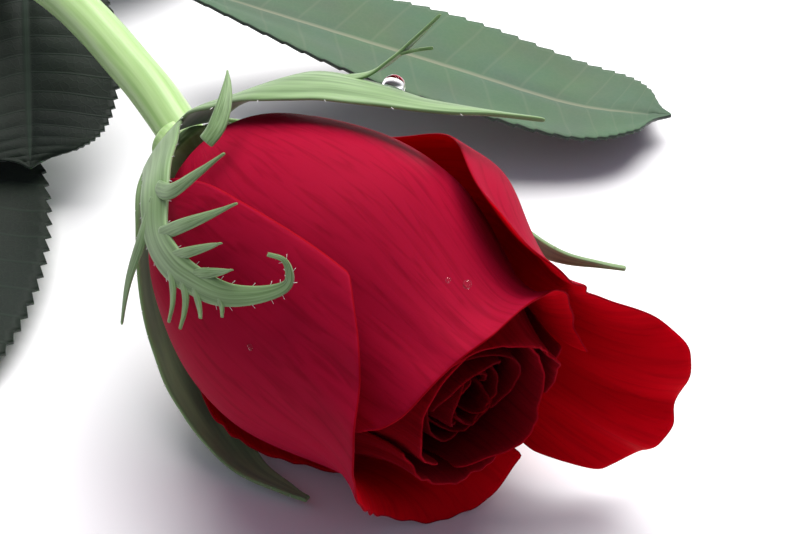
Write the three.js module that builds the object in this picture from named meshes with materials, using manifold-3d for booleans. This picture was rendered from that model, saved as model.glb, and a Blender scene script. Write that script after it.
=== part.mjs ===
// A cut rose, lying on a surface: bud, sepals, stem and two compound leaves.
// Millimetres, +Z up. +X runs along the rose from the cut end of the stem to the bloom.
import * as THREE from 'three';
import { mergeVertices } from 'three/addons/utils/BufferGeometryUtils.js';
import Module from 'manifold-3d';

// ---- driving dimensions -------------------------------------------------

const BUD_LENGTH = 64; // from the bud's base to the level of its inner rims
const BELLY_RADIUS = 22.9; // of the outermost layer of petals
const BELLY_CLEARANCE = 3.1; // between the belly and the surface, at the bud's base
const NOSE_DOWN = 3; // degrees that the bud dips towards the surface
const PETAL_THICKNESS = 0.4;
const LAYER_GAP = 0.8; // air between one layer of petals and the next

const STEM_LENGTH = 186;
const STEM_RADIUS = 3.1;
const NODE_SWELLING = 0.7; // how far a leaf's node stands out from the stem
const PRICKLE_LENGTH = 5;
const PRICKLE_RADIUS = 1.9;

const RECEPTACLE_RADIUS = 4.4;
const RECEPTACLE_HALF_LENGTH = 2.3;
const SEPAL_THICKNESS = 0.6;

const LEAFLET_LENGTH = 78; // the end leaflet of a leaf
const LEAFLET_HALF_WIDTH = 16;
const LEAFLET_THICKNESS = 0.6;
const STALK_RADIUS = 1.1;

const FIT_GAP = 0.3; // between pieces that touch on the real flower

// The rims below are drawn for a bud of this size, and stretch with the driving dimensions.
const DRAWN_LENGTH = 64;
const DRAWN_RADIUS = 22.9;

const BUD_HEIGHT = BELLY_RADIUS + BELLY_CLEARANCE;
const LAYER_STEP = PETAL_THICKNESS + LAYER_GAP;
const LENGTH_SCALE = BUD_LENGTH / DRAWN_LENGTH;
const RADIUS_SCALE = BELLY_RADIUS / DRAWN_RADIUS;

// ---- materials ----------------------------------------------------------

function finish(color, roughness) {
  return new THREE.MeshStandardMaterial({ color, roughness, metalness: 0 });
}

const OUTER_PETAL = finish(0x9c1232, 0.55);
const INNER_PETAL = finish(0x6d0418, 0.6);
const STEM_GREEN = finish(0x86b35a, 0.4);
const SEPAL_GREEN = finish(0x7f9a76, 0.55);
const LEAF_GREEN = finish(0x2f4a3a, 0.5);

// ---- helpers ------------------------------------------------------------

const degrees = THREE.MathUtils.degToRad;

// Catmull-Rom through rows of numbers, at share t of the way along them.
function alongRows(rows, t) {
  const last = rows.length - 1;
  const place = THREE.MathUtils.clamp(t, 0, 1) * last;
  const i = Math.min(Math.floor(place), last - 1);
  const f = place - i;
  const mirrored = (row, other) => row.map((value, k) => 2 * value - other[k]);
  const before = i > 0 ? rows[i - 1] : mirrored(rows[0], rows[1]);
  const after = i + 2 <= last ? rows[i + 2] : mirrored(rows[last], rows[last - 1]);
  return rows[i].map((b, k) => {
    const a = before[k];
    const c = rows[i + 1][k];
    const d = after[k];
    const squared = 2 * a - 5 * b + 4 * c - d;
    const cubed = 3 * b - a - 3 * c + d;
    return 0.5 * (2 * b + (c - a) * f + squared * f ** 2 + cubed * f ** 3);
  });
}

function signedVolume(positions, indices) {
  const corners = [new THREE.Vector3(), new THREE.Vector3(), new THREE.Vector3()];
  let volume = 0;
  for (let i = 0; i < indices.length; i += 3) {
    corners.forEach((corner, k) => corner.fromArray(positions, 3 * indices[i + k]));
    volume += corners[0].dot(corners[1].clone().cross(corners[2])) / 6;
  }
  return volume;
}

// A mesh geometry from corners and triangles, turned so that its faces point out.
function outwardGeometry(points, indices) {
  const positions = points.flatMap((p) => [p.x, p.y, p.z]);
  if (signedVolume(positions, indices) < 0) {
    indices.reverse();
  }
  const geometry = new THREE.BufferGeometry();
  geometry.setAttribute('position', new THREE.Float32BufferAttribute(positions, 3));
  geometry.setIndex(indices);
  geometry.computeVertexNormals();
  return geometry;
}

// A closed thin solid around the middle surface grid[i][j], with a wall along its edge.
function sheetGeometry(grid, thickness) {
  const rows = grid.length;
  const columns = grid[0].length;
  const front = [];
  const back = [];
  for (let i = 0; i < rows; i += 1) {
    for (let j = 0; j < columns; j += 1) {
      const across = grid[Math.min(i + 1, rows - 1)][j].clone().sub(grid[Math.max(i - 1, 0)][j]);
      const along = grid[i][Math.min(j + 1, columns - 1)].clone().sub(grid[i][Math.max(j - 1, 0)]);
      const offset = across.cross(along).setLength(thickness / 2);
      front.push(grid[i][j].clone().add(offset));
      back.push(grid[i][j].clone().sub(offset));
    }
  }
  const indices = [];
  const quad = (a, b, c, d) => indices.push(a, b, c, a, c, d);
  const shift = rows * columns;
  const at = (i, j) => i * columns + j;
  for (let i = 0; i + 1 < rows; i += 1) {
    for (let j = 0; j + 1 < columns; j += 1) {
      quad(at(i, j), at(i + 1, j), at(i + 1, j + 1), at(i, j + 1));
      quad(shift + at(i, j + 1), shift + at(i + 1, j + 1), shift + at(i + 1, j), shift + at(i, j));
    }
  }
  const edge = [];
  for (let i = 0; i + 1 < rows; i += 1) edge.push(at(i, 0));
  for (let j = 0; j + 1 < columns; j += 1) edge.push(at(rows - 1, j));
  for (let i = rows - 1; i > 0; i -= 1) edge.push(at(i, columns - 1));
  for (let j = columns - 1; j > 0; j -= 1) edge.push(at(0, j));
  edge.forEach((here, k) => {
    const next = edge[(k + 1) % edge.length];
    quad(next, here, shift + here, shift + next);
  });
  return outwardGeometry([...front, ...back], indices);
}

const BLADE_SIDES = 4; // strips across a blade

// A thin blade along a midline, as of a leaflet or a sepal. up(point) gives the way its face looks,
// halfWidth(t) its shape, roll turns it about its midline and fold lifts its edges.
function bladeGeometry({ midline, up, halfWidth, roll = 0, fold = 0, thickness, steps }) {
  const sides = BLADE_SIDES;
  const grid = [];
  for (let i = 0; i <= sides; i += 1) grid.push([]);
  for (let j = 0; j <= steps; j += 1) {
    const t = j / steps;
    const centre = midline.getPoint(t);
    const tangent = midline.getTangent(t);
    const side = tangent.clone().cross(up(centre)).normalize().applyAxisAngle(tangent, degrees(roll));
    const face = side.clone().cross(tangent).normalize();
    for (let i = 0; i <= sides; i += 1) {
      const across = ((2 * i) / sides - 1) * halfWidth(t);
      const lift = Math.abs(across) * Math.sin(degrees(fold));
      grid[i].push(centre.clone().addScaledVector(side, across).addScaledVector(face, lift));
    }
  }
  return sheetGeometry(grid, thickness);
}

// A closed round body along a curve, with its radius given by share of the way.
function limbGeometry(curve, radius, steps, sides) {
  const frames = curve.computeFrenetFrames(steps, false);
  const points = [];
  const indices = [];
  for (let j = 0; j <= steps; j += 1) {
    const centre = curve.getPointAt(j / steps);
    for (let i = 0; i < sides; i += 1) {
      const angle = (2 * Math.PI * i) / sides;
      const out = frames.normals[j].clone().multiplyScalar(Math.cos(angle));
      out.addScaledVector(frames.binormals[j], Math.sin(angle));
      points.push(centre.clone().addScaledVector(out, radius(j / steps)));
    }
  }
  for (let j = 0; j < steps; j += 1) {
    for (let i = 0; i < sides; i += 1) {
      const a = j * sides + i;
      const b = j * sides + ((i + 1) % sides);
      indices.push(a, b, b + sides, a, b + sides, a + sides);
    }
  }
  for (let i = 1; i + 1 < sides; i += 1) {
    indices.push(0, i + 1, i);
    indices.push(steps * sides, steps * sides + i, steps * sides + i + 1);
  }
  return outwardGeometry(points, indices);
}

const wasm = await Module();
wasm.setup();

function toSolid(geometry) {
  const bare = geometry.clone();
  bare.deleteAttribute('normal');
  bare.deleteAttribute('uv');
  const merged = mergeVertices(bare, 1e-4);
  return new wasm.Manifold(new wasm.Mesh({
    numProp: 3,
    vertProperties: new Float32Array(merged.attributes.position.array),
    triVerts: new Uint32Array(merged.index.array),
  }));
}

function fromSolid(solid) {
  const mesh = solid.getMesh();
  const geometry = new THREE.BufferGeometry();
  geometry.setAttribute('position', new THREE.BufferAttribute(new Float32Array(mesh.vertProperties), 3));
  geometry.setIndex(new THREE.BufferAttribute(new Uint32Array(mesh.triVerts), 1));
  geometry.computeVertexNormals();
  return geometry;
}

function named(name, geometry, material) {
  const mesh = new THREE.Mesh(geometry, material);
  mesh.name = name;
  return mesh;
}

// ---- bud frame ----------------------------------------------------------
// In the bud's own frame X is its axis from base to opening, Y is the far side and Z is up.
// A place is (height along the axis, azimuth round it with 0 at +Y and 90 at +Z, radius).

function budPlace(height, azimuth, radius) {
  const angle = degrees(azimuth);
  return new THREE.Vector3(height, radius * Math.cos(angle), radius * Math.sin(angle));
}

// Outline of the closed bud: share of BUD_LENGTH, share of BELLY_RADIUS.
const BUD_PROFILE = [
  [0.047, 0.15], [0.078, 0.44], [0.156, 0.68], [0.25, 0.84], [0.39, 0.98],
  [0.53, 1.0], [0.66, 0.92], [0.78, 0.81], [0.91, 0.72], [1.0, 0.68],
];
const BASE_RISE = 0.75; // how much higher each layer starts, as a share of its depth
const SEARCH_STEPS = 24; // halvings when a height is looked up in the outline

// The outline of one layer at share q of the way along it.
function layerPoint(layer, q) {
  const depth = layer * LAYER_STEP;
  const [heightShare, radiusShare] = alongRows(BUD_PROFILE, q);
  const start = BASE_RISE * depth;
  return [start + heightShare * (BUD_LENGTH - start), radiusShare * (BELLY_RADIUS - depth)];
}

function layerShareAt(layer, height) {
  let low = 0;
  let high = 1;
  for (let k = 0; k < SEARCH_STEPS; k += 1) {
    const middle = (low + high) / 2;
    if (layerPoint(layer, middle)[0] < height) low = middle;
    else high = middle;
  }
  return (low + high) / 2;
}

function bellyRadiusAt(height) {
  return layerPoint(0, layerShareAt(0, height))[1];
}

// ---- petals -------------------------------------------------------------

const STRIP_STEPS = 16; // along a layer, and again from there to the rim
const LEAVES_LAYER_AT = 0.6; // share of the rim's height at which a petal leaves its layer
const CLAW_SHARE = 0.34; // width of a petal's claw, as a share of its widest
const WIDEST_FROM = 0.55; // share of a petal's length by which it has opened to its widest
const CLAW_ROUNDNESS = 0.9; // power that shapes how it opens
const RIM_TURN_FROM = 0.35; // share of its length from which it turns towards its rim's azimuth

// One strip of a petal from its claw to its rim: it follows its layer up to a share of the rim's
// height, then leaves it and arrives at the rim leaning out by the rim's own angle. A reach under 1
// stops the strip short of that rim.
function petalStrip(layer, leave, [, rimHeight, rimRadius, lean, reach = 1], count) {
  const rim = new THREE.Vector2(rimHeight * LENGTH_SCALE, rimRadius * RADIUS_SCALE);
  const leaveShare = layerShareAt(layer, leave * rim.x);
  const path = [];
  for (let i = 0; i <= STRIP_STEPS; i += 1) {
    path.push(new THREE.Vector2(...layerPoint(layer, (leaveShare * i) / STRIP_STEPS)));
  }
  const start = path[path.length - 1];
  const direction = start.clone().sub(path[path.length - 2]).normalize();
  const chord = rim.distanceTo(start);
  const arrival = new THREE.Vector2(Math.cos(degrees(lean)), Math.sin(degrees(lean)));
  for (let i = 1; i <= STRIP_STEPS; i += 1) {
    const x = i / STRIP_STEPS;
    const point = start.clone().multiplyScalar(2 * x ** 3 - 3 * x ** 2 + 1);
    point.addScaledVector(direction, chord * (x ** 3 - 2 * x ** 2 + x));
    point.addScaledVector(rim, 3 * x ** 2 - 2 * x ** 3);
    point.addScaledVector(arrival, chord * (x ** 3 - x ** 2));
    path.push(point);
  }
  const strip = new THREE.CurvePath();
  for (let i = 0; i + 1 < path.length; i += 1) {
    strip.add(new THREE.LineCurve(path[i], path[i + 1]));
  }
  return Array.from({ length: count + 1 }, (_, j) => strip.getPointAt((reach * j) / count));
}

function petalGeometry({ layer, face, half, rim, leave = LEAVES_LAYER_AT, across, along }) {
  const grid = [];
  for (let i = 0; i <= across; i += 1) {
    const u = (2 * i) / across - 1;
    const rimPoint = alongRows(rim, (u + 1) / 2);
    const strip = petalStrip(layer, leave, rimPoint, along);
    grid.push(strip.map((point, j) => {
      const v = j / along;
      const opened = Math.min(1, v / WIDEST_FROM);
      const opening = Math.sin((opened * Math.PI) / 2) ** CLAW_ROUNDNESS;
      const width = CLAW_SHARE + (1 - CLAW_SHARE) * opening;
      const turn = THREE.MathUtils.smoothstep(v, RIM_TURN_FROM, 1);
      const azimuth = (face + u * half * width) * (1 - turn) + rimPoint[0] * turn;
      return budPlace(point.x, azimuth, point.y);
    }));
  }
  return sheetGeometry(grid, PETAL_THICKNESS);
}

// Outer petals. Each rim row is azimuth, height, radius and lean out from the axis in degrees.
const OUTER_PETALS = [
  { name: 'petal_01_under', layer: 0, face: 296, half: 66, leave: 0.5,
    rim: [[224, 27, 22.8, 8], [236, 31, 23.3, 10], [250, 36, 23.4, 6], [275, 44, 23, 0],
      [320, 46, 22.8, 0], [355, 40, 22.9, 0]] },
  { name: 'petal_02_right', layer: 1, face: -17, half: 54,
    rim: [[-56, 55, 22, 20], [-48, 62, 25, 50], [-35, 67, 26.6, 62], [-20, 65.4, 28.6, 70],
      [-5, 65, 28.5, 75], [6, 61.6, 25, 65], [20, 59, 19.8, 50], [50, 60, 18.4, 20],
      [62, 57, 18.8, 8], [60, 48, 20.6, 0]] },
  { name: 'petal_03_front', layer: 1, face: 190, half: 62,
    rim: [[120, 46, 21.5, 0], [141, 54.4, 20.8, 5], [164, 59, 21.4, 20], [188, 59, 20, 30],
      [212, 56.5, 18.8, 40], [236, 53, 20.2, 58], [254, 51.6, 23.2, 70], [268, 53.4, 23.6, 66],
      [282, 55.8, 22.6, 56], [301, 56.6, 21, 34]] },
  { name: 'petal_04_top', layer: 2, face: 92, half: 76,
    rim: [[8, 61, 14.6, 20], [20, 58, 15.8, 44], [40, 57.5, 17, 60], [60, 58.6, 15.6, 48],
      [82, 59.4, 13.6, 30], [105, 59.7, 13.1, 15], [135, 59, 13.4, 5], [160, 57.4, 14.2, 0],
      [180, 53, 15.2, 0]] },
  { name: 'petal_05_back', layer: 2.2, face: 276, half: 90, leave: 0.92,
    rim: [[194, 34, 19.8, 0], [215, 34, 19.8, 0], [250, 36, 19.6, 0], [285, 45, 18, 0],
      [320, 53, 16, 0], [355, 56, 15.6, 0]] },
  { name: 'petal_06_left', layer: 3.2, face: 245, half: 74,
    rim: [[178, 57, 11.6, 0], [205, 60, 11.6, 0], [235, 60.5, 12, 8], [265, 60.5, 13, 30],
      [290, 58, 15, 45], [312, 56, 15.2, 30]] },
  { name: 'petal_07_right', layer: 3.2, face: 62, half: 84,
    rim: [[-26, 58, 12.6, 0], [2, 59.6, 11.2, 0], [24, 59.6, 10.2, 0], [60, 60, 9.4, 0],
      [95, 58.4, 9.6, 0], [136, 57, 10.8, 0]] },
  { name: 'petal_08_left', layer: 4.3, face: 160, half: 80,
    rim: [[84, 57, 8.4, 0], [126, 57.4, 8.8, 0], [165, 57.8, 9.2, 0], [188, 58.6, 9.8, 0],
      [236, 57, 9.4, 0]] },
  { name: 'petal_09_right', layer: 4.3, face: 334, half: 84,
    rim: [[256, 57, 10.6, 0], [300, 60, 10.2, 6], [335, 59.6, 9.8, 6], [375, 58.6, 9.4, 5],
      [412, 57, 8.4, 0]] },
];

// The heart: pairs of petals in ever smaller layers, each pair turned on from the last.
const HEART_RINGS = 5;
const OUTER_COUNT = OUTER_PETALS.length;
const HEART_FIRST_FACE = 30; // azimuth of its first petal
const HEART_FIRST_LAYER = 5.6;
const HEART_HALF = 84;
const HEART_TURN = 68;
const HEART_RIM_RADIUS = 6.6;
const HEART_RIM_STEP = 1.16;
const HEART_HEIGHT = 59;
const SECOND_SHORTER = 0.03; // how much shorter the second of a pair is, as a share of its length
const SHOULDER_DROP = 0.05; // how much lower a heart petal's corners are than its middle

function heartPetals() {
  const petals = [];
  for (let ring = 0; ring < HEART_RINGS; ring += 1) {
    for (let side = 0; side < 2; side += 1) {
      const face = HEART_FIRST_FACE + ring * HEART_TURN + side * 180;
      const radius = HEART_RIM_RADIUS - ring * HEART_RIM_STEP;
      petals.push({
        name: `petal_${OUTER_COUNT + 1 + 2 * ring + side}_heart`,
        layer: HEART_FIRST_LAYER + ring,
        face,
        half: HEART_HALF,
        rim: [-1, -0.5, 0, 0.5, 1].map((u) => {
          const reach = 1 - SECOND_SHORTER * side - SHOULDER_DROP * u ** 2;
          return [face + u * HEART_HALF, HEART_HEIGHT, radius, 0, reach];
        }),
      });
    }
  }
  return petals;
}

// ---- sepals -------------------------------------------------------------

const SEPAL_FOOT_RADIUS = RECEPTACLE_RADIUS + FIT_GAP + SEPAL_THICKNESS;
const SEPAL_SPREAD = 4.4; // how far a sepal's second place is out from its foot
const SEPAL_RISE = 2; // and how far it is up from it
const SEPAL_FOOT_SHARE = 0.55; // width at the foot, as a share of the widest
const SEPAL_TIP_SHARE = 0.12; // and near the tip
const LEAST_WIDTH = 0.3; // half the width that a point is drawn out to

// A sepal's midline: it leaves the receptacle, runs up the belly and then through its own places.
// Each place is height, azimuth and distance out from the belly.
function sepalMidline(azimuth, places) {
  const feet = [
    budPlace(0, azimuth, SEPAL_FOOT_RADIUS),
    budPlace(SEPAL_RISE, azimuth, SEPAL_FOOT_RADIUS + SEPAL_SPREAD),
  ];
  const rest = places.map(([height, turn, standoff]) => (
    budPlace(height * LENGTH_SCALE, turn, bellyRadiusAt(height * LENGTH_SCALE) + standoff)
  ));
  return new THREE.CatmullRomCurve3([...feet, ...rest]);
}

const awayFromAxis = (point) => new THREE.Vector3(0, point.y, point.z).normalize();

// Narrow at the foot, widest at share peak, drawn out to a point.
function sepalWidth(widest, peak) {
  return (t) => {
    const rise = THREE.MathUtils.lerp(SEPAL_FOOT_SHARE, 1, THREE.MathUtils.smoothstep(t, 0, peak));
    const fall = THREE.MathUtils.lerp(1, SEPAL_TIP_SHARE, THREE.MathUtils.smoothstep(t, peak, 1));
    return Math.max(LEAST_WIDTH, widest * rise * fall);
  };
}

const SEPALS = [
  { name: 'sepal_front', azimuth: 134, widest: 1.9, peak: 0.35,
    places: [[7, 136, 1.8], [13, 141, 2], [19, 151, 1.8], [25, 152.5, 1.8], [30, 151, 1.8],
      [35, 148, 2], [39.5, 141, 2.4], [41.6, 134, 3], [40.4, 130, 4.2]] },
  { name: 'sepal_top', azimuth: 78, widest: 4.9, peak: 0.4,
    places: [[7, 79, 1.6], [13, 77, 1.8], [19, 71, 1.9], [25, 64, 2.2], [30, 55, 3.2], [34, 45, 6],
      [39, 36, 10.5]] },
  { name: 'sepal_left', azimuth: 214, widest: 4.6, peak: 0.38, roll: 25,
    places: [[8, 221, 2.6], [14, 226, 3], [20, 229, 3.4], [26, 232, 4], [32, 235, 4.6],
      [38, 239, 4.6], [42, 242, 4.6]] },
  { name: 'sepal_under', azimuth: 284, widest: 3.8, peak: 0.4,
    places: [[7, 284, 1.7], [13, 284, 1.7], [19, 284, 1.5], [25, 285, 1.3], [31, 286, 1.3]] },
  { name: 'sepal_far', azimuth: 352, widest: 2.8, peak: 0.35,
    places: [[7, 352, 1.8], [14, 352, 2.2], [22, 352, 3], [30, 352, 4.4], [37.5, 353, 5.2],
      [43, 355.5, 6.8], [47.3, 357, 10.4], [50, 357, 13.6]] },
];

// ---- stem ---------------------------------------------------------------

// The stem runs back from the bud, keeps level for a while and comes down to the surface.
const CUT_END_SHARE = 0.9; // radius at the cut end, as a share of the radius at the bud
const STEM_SLANT = 0.25; // the most that its first stretch runs sideways for each step back
const STEM_START = RECEPTACLE_HALF_LENGTH + FIT_GAP + STEM_SLANT * STEM_RADIUS;
const STEM_PATH = new THREE.CatmullRomCurve3([
  new THREE.Vector3(-STEM_START, 1.2, BUD_HEIGHT + 0.4),
  new THREE.Vector3(-0.1 * STEM_LENGTH, 4.4, BUD_HEIGHT + 1.6),
  new THREE.Vector3(-0.24 * STEM_LENGTH, 7.6, BUD_HEIGHT + 1.4),
  new THREE.Vector3(-0.46 * STEM_LENGTH, 9.8, 0.72 * BUD_HEIGHT),
  new THREE.Vector3(-0.72 * STEM_LENGTH, 11.5, 0.4 * BUD_HEIGHT),
  new THREE.Vector3(-STEM_LENGTH, 13, STEM_RADIUS * CUT_END_SHARE),
]);
const LEAF_A_NODE = 0.47; // share of the stem's length from the bud to the upper leaf's node
const LEAF_B_NODE = 0.62;

const NODE_REACH = 4; // how far along the stem a node's swelling fades

function stemRadius(t) {
  const swelling = [LEAF_A_NODE, LEAF_B_NODE].map((node) => {
    const distance = ((t - node) * STEM_LENGTH) / NODE_REACH;
    return NODE_SWELLING * Math.exp(-(distance ** 2));
  });
  return STEM_RADIUS * THREE.MathUtils.lerp(1, CUT_END_SHARE, t) + swelling[0] + swelling[1];
}

const PRICKLE_SUNK = 0.6; // depth of its foot in the stem
const PRICKLE_FLATNESS = 0.55; // its breadth across the stem, as a share of that along it
const PRICKLE_LEAN = 0.35; // towards the cut end
// Share of the stem's length and turn round it in degrees, for each prickle.
const PRICKLES = [[0.38, 100], [0.54, 250], [0.68, 70], [0.77, 200], [0.86, 20], [0.93, 150]];

function prickleGeometry(share, turn) {
  const geometry = new THREE.ConeGeometry(PRICKLE_RADIUS, PRICKLE_LENGTH, 8);
  geometry.translate(0, PRICKLE_LENGTH / 2 - PRICKLE_SUNK, 0);
  geometry.scale(PRICKLE_FLATNESS, 1, 1);
  const tangent = STEM_PATH.getTangentAt(share);
  const side = tangent.clone().cross(new THREE.Vector3(0, 0, 1)).normalize();
  const out = side.clone().applyAxisAngle(tangent, degrees(turn));
  const tilted = out.clone().addScaledVector(tangent, PRICKLE_LEAN).normalize();
  const breadth = tangent.clone().cross(tilted).normalize();
  const basis = new THREE.Matrix4().makeBasis(breadth, tilted, breadth.clone().cross(tilted));
  geometry.applyMatrix4(basis);
  const foot = STEM_PATH.getPointAt(share).addScaledVector(out, stemRadius(share));
  geometry.translate(foot.x, foot.y, foot.z);
  return geometry;
}

function stemGeometry() {
  const shaft = toSolid(limbGeometry(STEM_PATH, stemRadius, 36, 12));
  const prickles = PRICKLES.map(([share, turn]) => toSolid(prickleGeometry(share, turn)));
  return fromSolid(prickles.reduce((sum, prickle) => sum.add(prickle), shaft));
}

// The small cup that the petals and sepals grow from, about the bud's axis.
function receptacleGeometry() {
  const profile = [
    [0, -RECEPTACLE_HALF_LENGTH], [STEM_RADIUS * 1.05, -RECEPTACLE_HALF_LENGTH],
    [RECEPTACLE_RADIUS * 0.96, -1], [RECEPTACLE_RADIUS, 0.6], [RECEPTACLE_RADIUS * 0.7, 1.9],
    [0, RECEPTACLE_HALF_LENGTH],
  ];
  const geometry = new THREE.LatheGeometry(profile.map(([r, h]) => new THREE.Vector2(r, h)), 16);
  geometry.rotateZ(-Math.PI / 2);
  return mergeVertices(geometry.deleteAttribute('normal').deleteAttribute('uv'), 1e-4);
}

// ---- leaves -------------------------------------------------------------

const straightUp = () => new THREE.Vector3(0, 0, 1);

const LEAFLET_FOLD = 6; // degrees that its halves lift from its midrib
const TIP_HEIGHT = 0.5; // of a leaflet that lies on the surface
const LEAFLET_TIP = 0.4; // half the width of a leaflet's point
const EGG_SHAPE = [0.8, 0.85]; // powers of the way along and of the width, for a leaflet's outline
const FULL_SHAPE = [0.86, 0.8]; // the same, for one that is blunt towards its tip

function leafletWidth(widest, [way, roundness]) {
  return (t) => {
    const width = widest * Math.max(0, Math.sin(Math.PI * t ** way)) ** roundness;
    return Math.max(LEAFLET_TIP, width);
  };
}

// A leaflet from its base, by its heading in plan, its length and the height of its tip.
function leafletGeometry({
  base, heading, length, width, tipHeight = TIP_HEIGHT, roll = 0, fold = LEAFLET_FOLD, shape = EGG_SHAPE,
}) {
  const direction = new THREE.Vector3(Math.cos(degrees(heading)), Math.sin(degrees(heading)), 0);
  const at = (share) => {
    const point = base.clone().addScaledVector(direction, share * length);
    point.z = THREE.MathUtils.lerp(base.z, tipHeight, share);
    return point;
  };
  const midline = new THREE.CatmullRomCurve3([0, 0.25, 0.5, 0.75, 1].map(at));
  return bladeGeometry({
    midline, up: straightUp, halfWidth: leafletWidth(width, shape), roll, fold,
    thickness: LEAFLET_THICKNESS, steps: 14,
  });
}

const SIDE_STANDOFF = 1.2; // of a side leaflet's blade from the stalk, where its own short stalk is

// A leaf: a stalk that leaves the stem at a node, an end leaflet and a pair of side leaflets.
function leafMeshes({ name, node, route, end, sides }) {
  const foot = STEM_PATH.getPointAt(node);
  const first = foot.clone().add(route[0]);
  const tangent = STEM_PATH.getTangentAt(node);
  const out = first.clone().sub(foot).projectOnPlane(tangent).normalize();
  const start = foot.clone().addScaledVector(out, stemRadius(node) + STALK_RADIUS + FIT_GAP);
  const stalk = new THREE.CatmullRomCurve3([start, ...route.map((step) => foot.clone().add(step))]);
  const meshes = [named(`${name}_stalk`, stalkGeometry(stalk), LEAF_GREEN)];
  const along = stalk.getTangent(1);
  meshes.push(named(`${name}_end_leaflet`, leafletGeometry({
    ...end, base: stalk.getPoint(1).addScaledVector(along, FIT_GAP + LEAFLET_THICKNESS),
  }), LEAF_GREEN));
  sides.forEach(({ label, ...leaflet }) => {
    const spot = stalk.getPointAt(leaflet.share);
    const heading = degrees(leaflet.heading);
    const away = new THREE.Vector3(Math.cos(heading), Math.sin(heading), 0);
    const base = spot.addScaledVector(away, STALK_RADIUS + FIT_GAP + SIDE_STANDOFF);
    meshes.push(named(`${name}_${label}_leaflet`, leafletGeometry({ ...leaflet, base }), LEAF_GREEN));
  });
  return meshes;
}

function stalkGeometry(curve) {
  const section = new THREE.Shape();
  section.absarc(0, 0, STALK_RADIUS, 0, 2 * Math.PI);
  const geometry = new THREE.ExtrudeGeometry(section, { steps: 14, extrudePath: curve, curveSegments: 4 });
  return mergeVertices(geometry.deleteAttribute('normal').deleteAttribute('uv'), 1e-4);
}

// Points of a stalk's route are measured from the stem's middle at its node.
const LEAVES = [
  {
    name: 'leaf_a', node: LEAF_A_NODE,
    route: [new THREE.Vector3(7, 7, 4), new THREE.Vector3(20, 10.5, 4), new THREE.Vector3(39, 18, 0)],
    end: { heading: 38.4, length: 1.03 * LEAFLET_LENGTH, width: LEAFLET_HALF_WIDTH, roll: -12, fold: 4,
      shape: FULL_SHAPE },
    sides: [
      { label: 'near', share: 0.62, heading: -34, length: 0.56 * LEAFLET_LENGTH,
        width: 0.9 * LEAFLET_HALF_WIDTH, tipHeight: 7, roll: 4 },
      { label: 'far', share: 0.5, heading: 96, length: 0.66 * LEAFLET_LENGTH,
        width: 0.8 * LEAFLET_HALF_WIDTH, roll: 6 },
    ],
  },
  {
    name: 'leaf_b', node: LEAF_B_NODE,
    route: [new THREE.Vector3(5, -6.5, -3), new THREE.Vector3(24, -8, -7), new THREE.Vector3(48, -7, -9.5)],
    end: { heading: -41, length: LEAFLET_LENGTH, width: 1.25 * LEAFLET_HALF_WIDTH, roll: 2, fold: 4 },
    sides: [
      { label: 'near', share: 0.6, heading: -100, length: 0.66 * LEAFLET_LENGTH,
        width: 0.8 * LEAFLET_HALF_WIDTH },
      { label: 'far', share: 0.52, heading: 100, length: 0.6 * LEAFLET_LENGTH,
        width: 0.76 * LEAFLET_HALF_WIDTH },
    ],
  },
];

// ---- assembly -----------------------------------------------------------

const bud = new THREE.Group();
bud.position.z = BUD_HEIGHT;
bud.rotation.y = degrees(NOSE_DOWN);
bud.add(named('receptacle', receptacleGeometry(), STEM_GREEN));
OUTER_PETALS.forEach(({ name, ...petal }) => {
  bud.add(named(name, petalGeometry({ ...petal, across: 12, along: 10 }), OUTER_PETAL));
});
heartPetals().forEach(({ name, ...petal }) => {
  bud.add(named(name, petalGeometry({ ...petal, across: 7, along: 6 }), INNER_PETAL));
});
SEPALS.forEach(({ name, azimuth, places, widest, peak, roll }) => {
  bud.add(named(name, bladeGeometry({
    midline: sepalMidline(azimuth, places), up: awayFromAxis, halfWidth: sepalWidth(widest, peak), roll,
    thickness: SEPAL_THICKNESS, steps: 16,
  }), SEPAL_GREEN));
});

const rose = new THREE.Group();
rose.add(bud);
rose.add(named('stem', stemGeometry(), STEM_GREEN));
LEAVES.forEach((leaf) => rose.add(...leafMeshes(leaf)));

// The origin is on the surface, below the middle of the rose.
rose.updateMatrixWorld(true);
const box = new THREE.Box3().setFromObject(rose, true);
const middle = box.getCenter(new THREE.Vector3());
rose.position.set(-middle.x, -middle.y, -box.min.z);

export default rose;
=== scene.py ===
"""Looks of a cut rose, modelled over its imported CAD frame.

Metres, +Z up, +X from the cut end of the stem to the bloom. Sizes inside the shaping functions are
in millimetres and are turned to metres when a piece's corners are placed.
"""

import math

import bpy
from bpy.props import FloatProperty, FloatVectorProperty, PointerProperty
from mathutils import Matrix, Quaternion, Vector, noise


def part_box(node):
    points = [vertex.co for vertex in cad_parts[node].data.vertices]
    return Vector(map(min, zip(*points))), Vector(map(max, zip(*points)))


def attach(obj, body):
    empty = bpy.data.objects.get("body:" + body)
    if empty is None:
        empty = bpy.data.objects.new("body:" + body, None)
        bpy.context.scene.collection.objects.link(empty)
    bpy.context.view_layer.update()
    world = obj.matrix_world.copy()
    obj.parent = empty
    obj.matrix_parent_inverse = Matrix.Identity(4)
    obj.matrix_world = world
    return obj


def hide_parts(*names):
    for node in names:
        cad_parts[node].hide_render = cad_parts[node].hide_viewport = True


bl_info = {
    "name": "Cut Rose",
    "version": (1, 0, 0),
    "blender": (4, 5, 0),
    "location": "3D View > Sidebar > Rose",
    "description": "Petals, sepals, stem and leaves of a cut rose over its CAD frame",
    "category": "Object",
}

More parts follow.
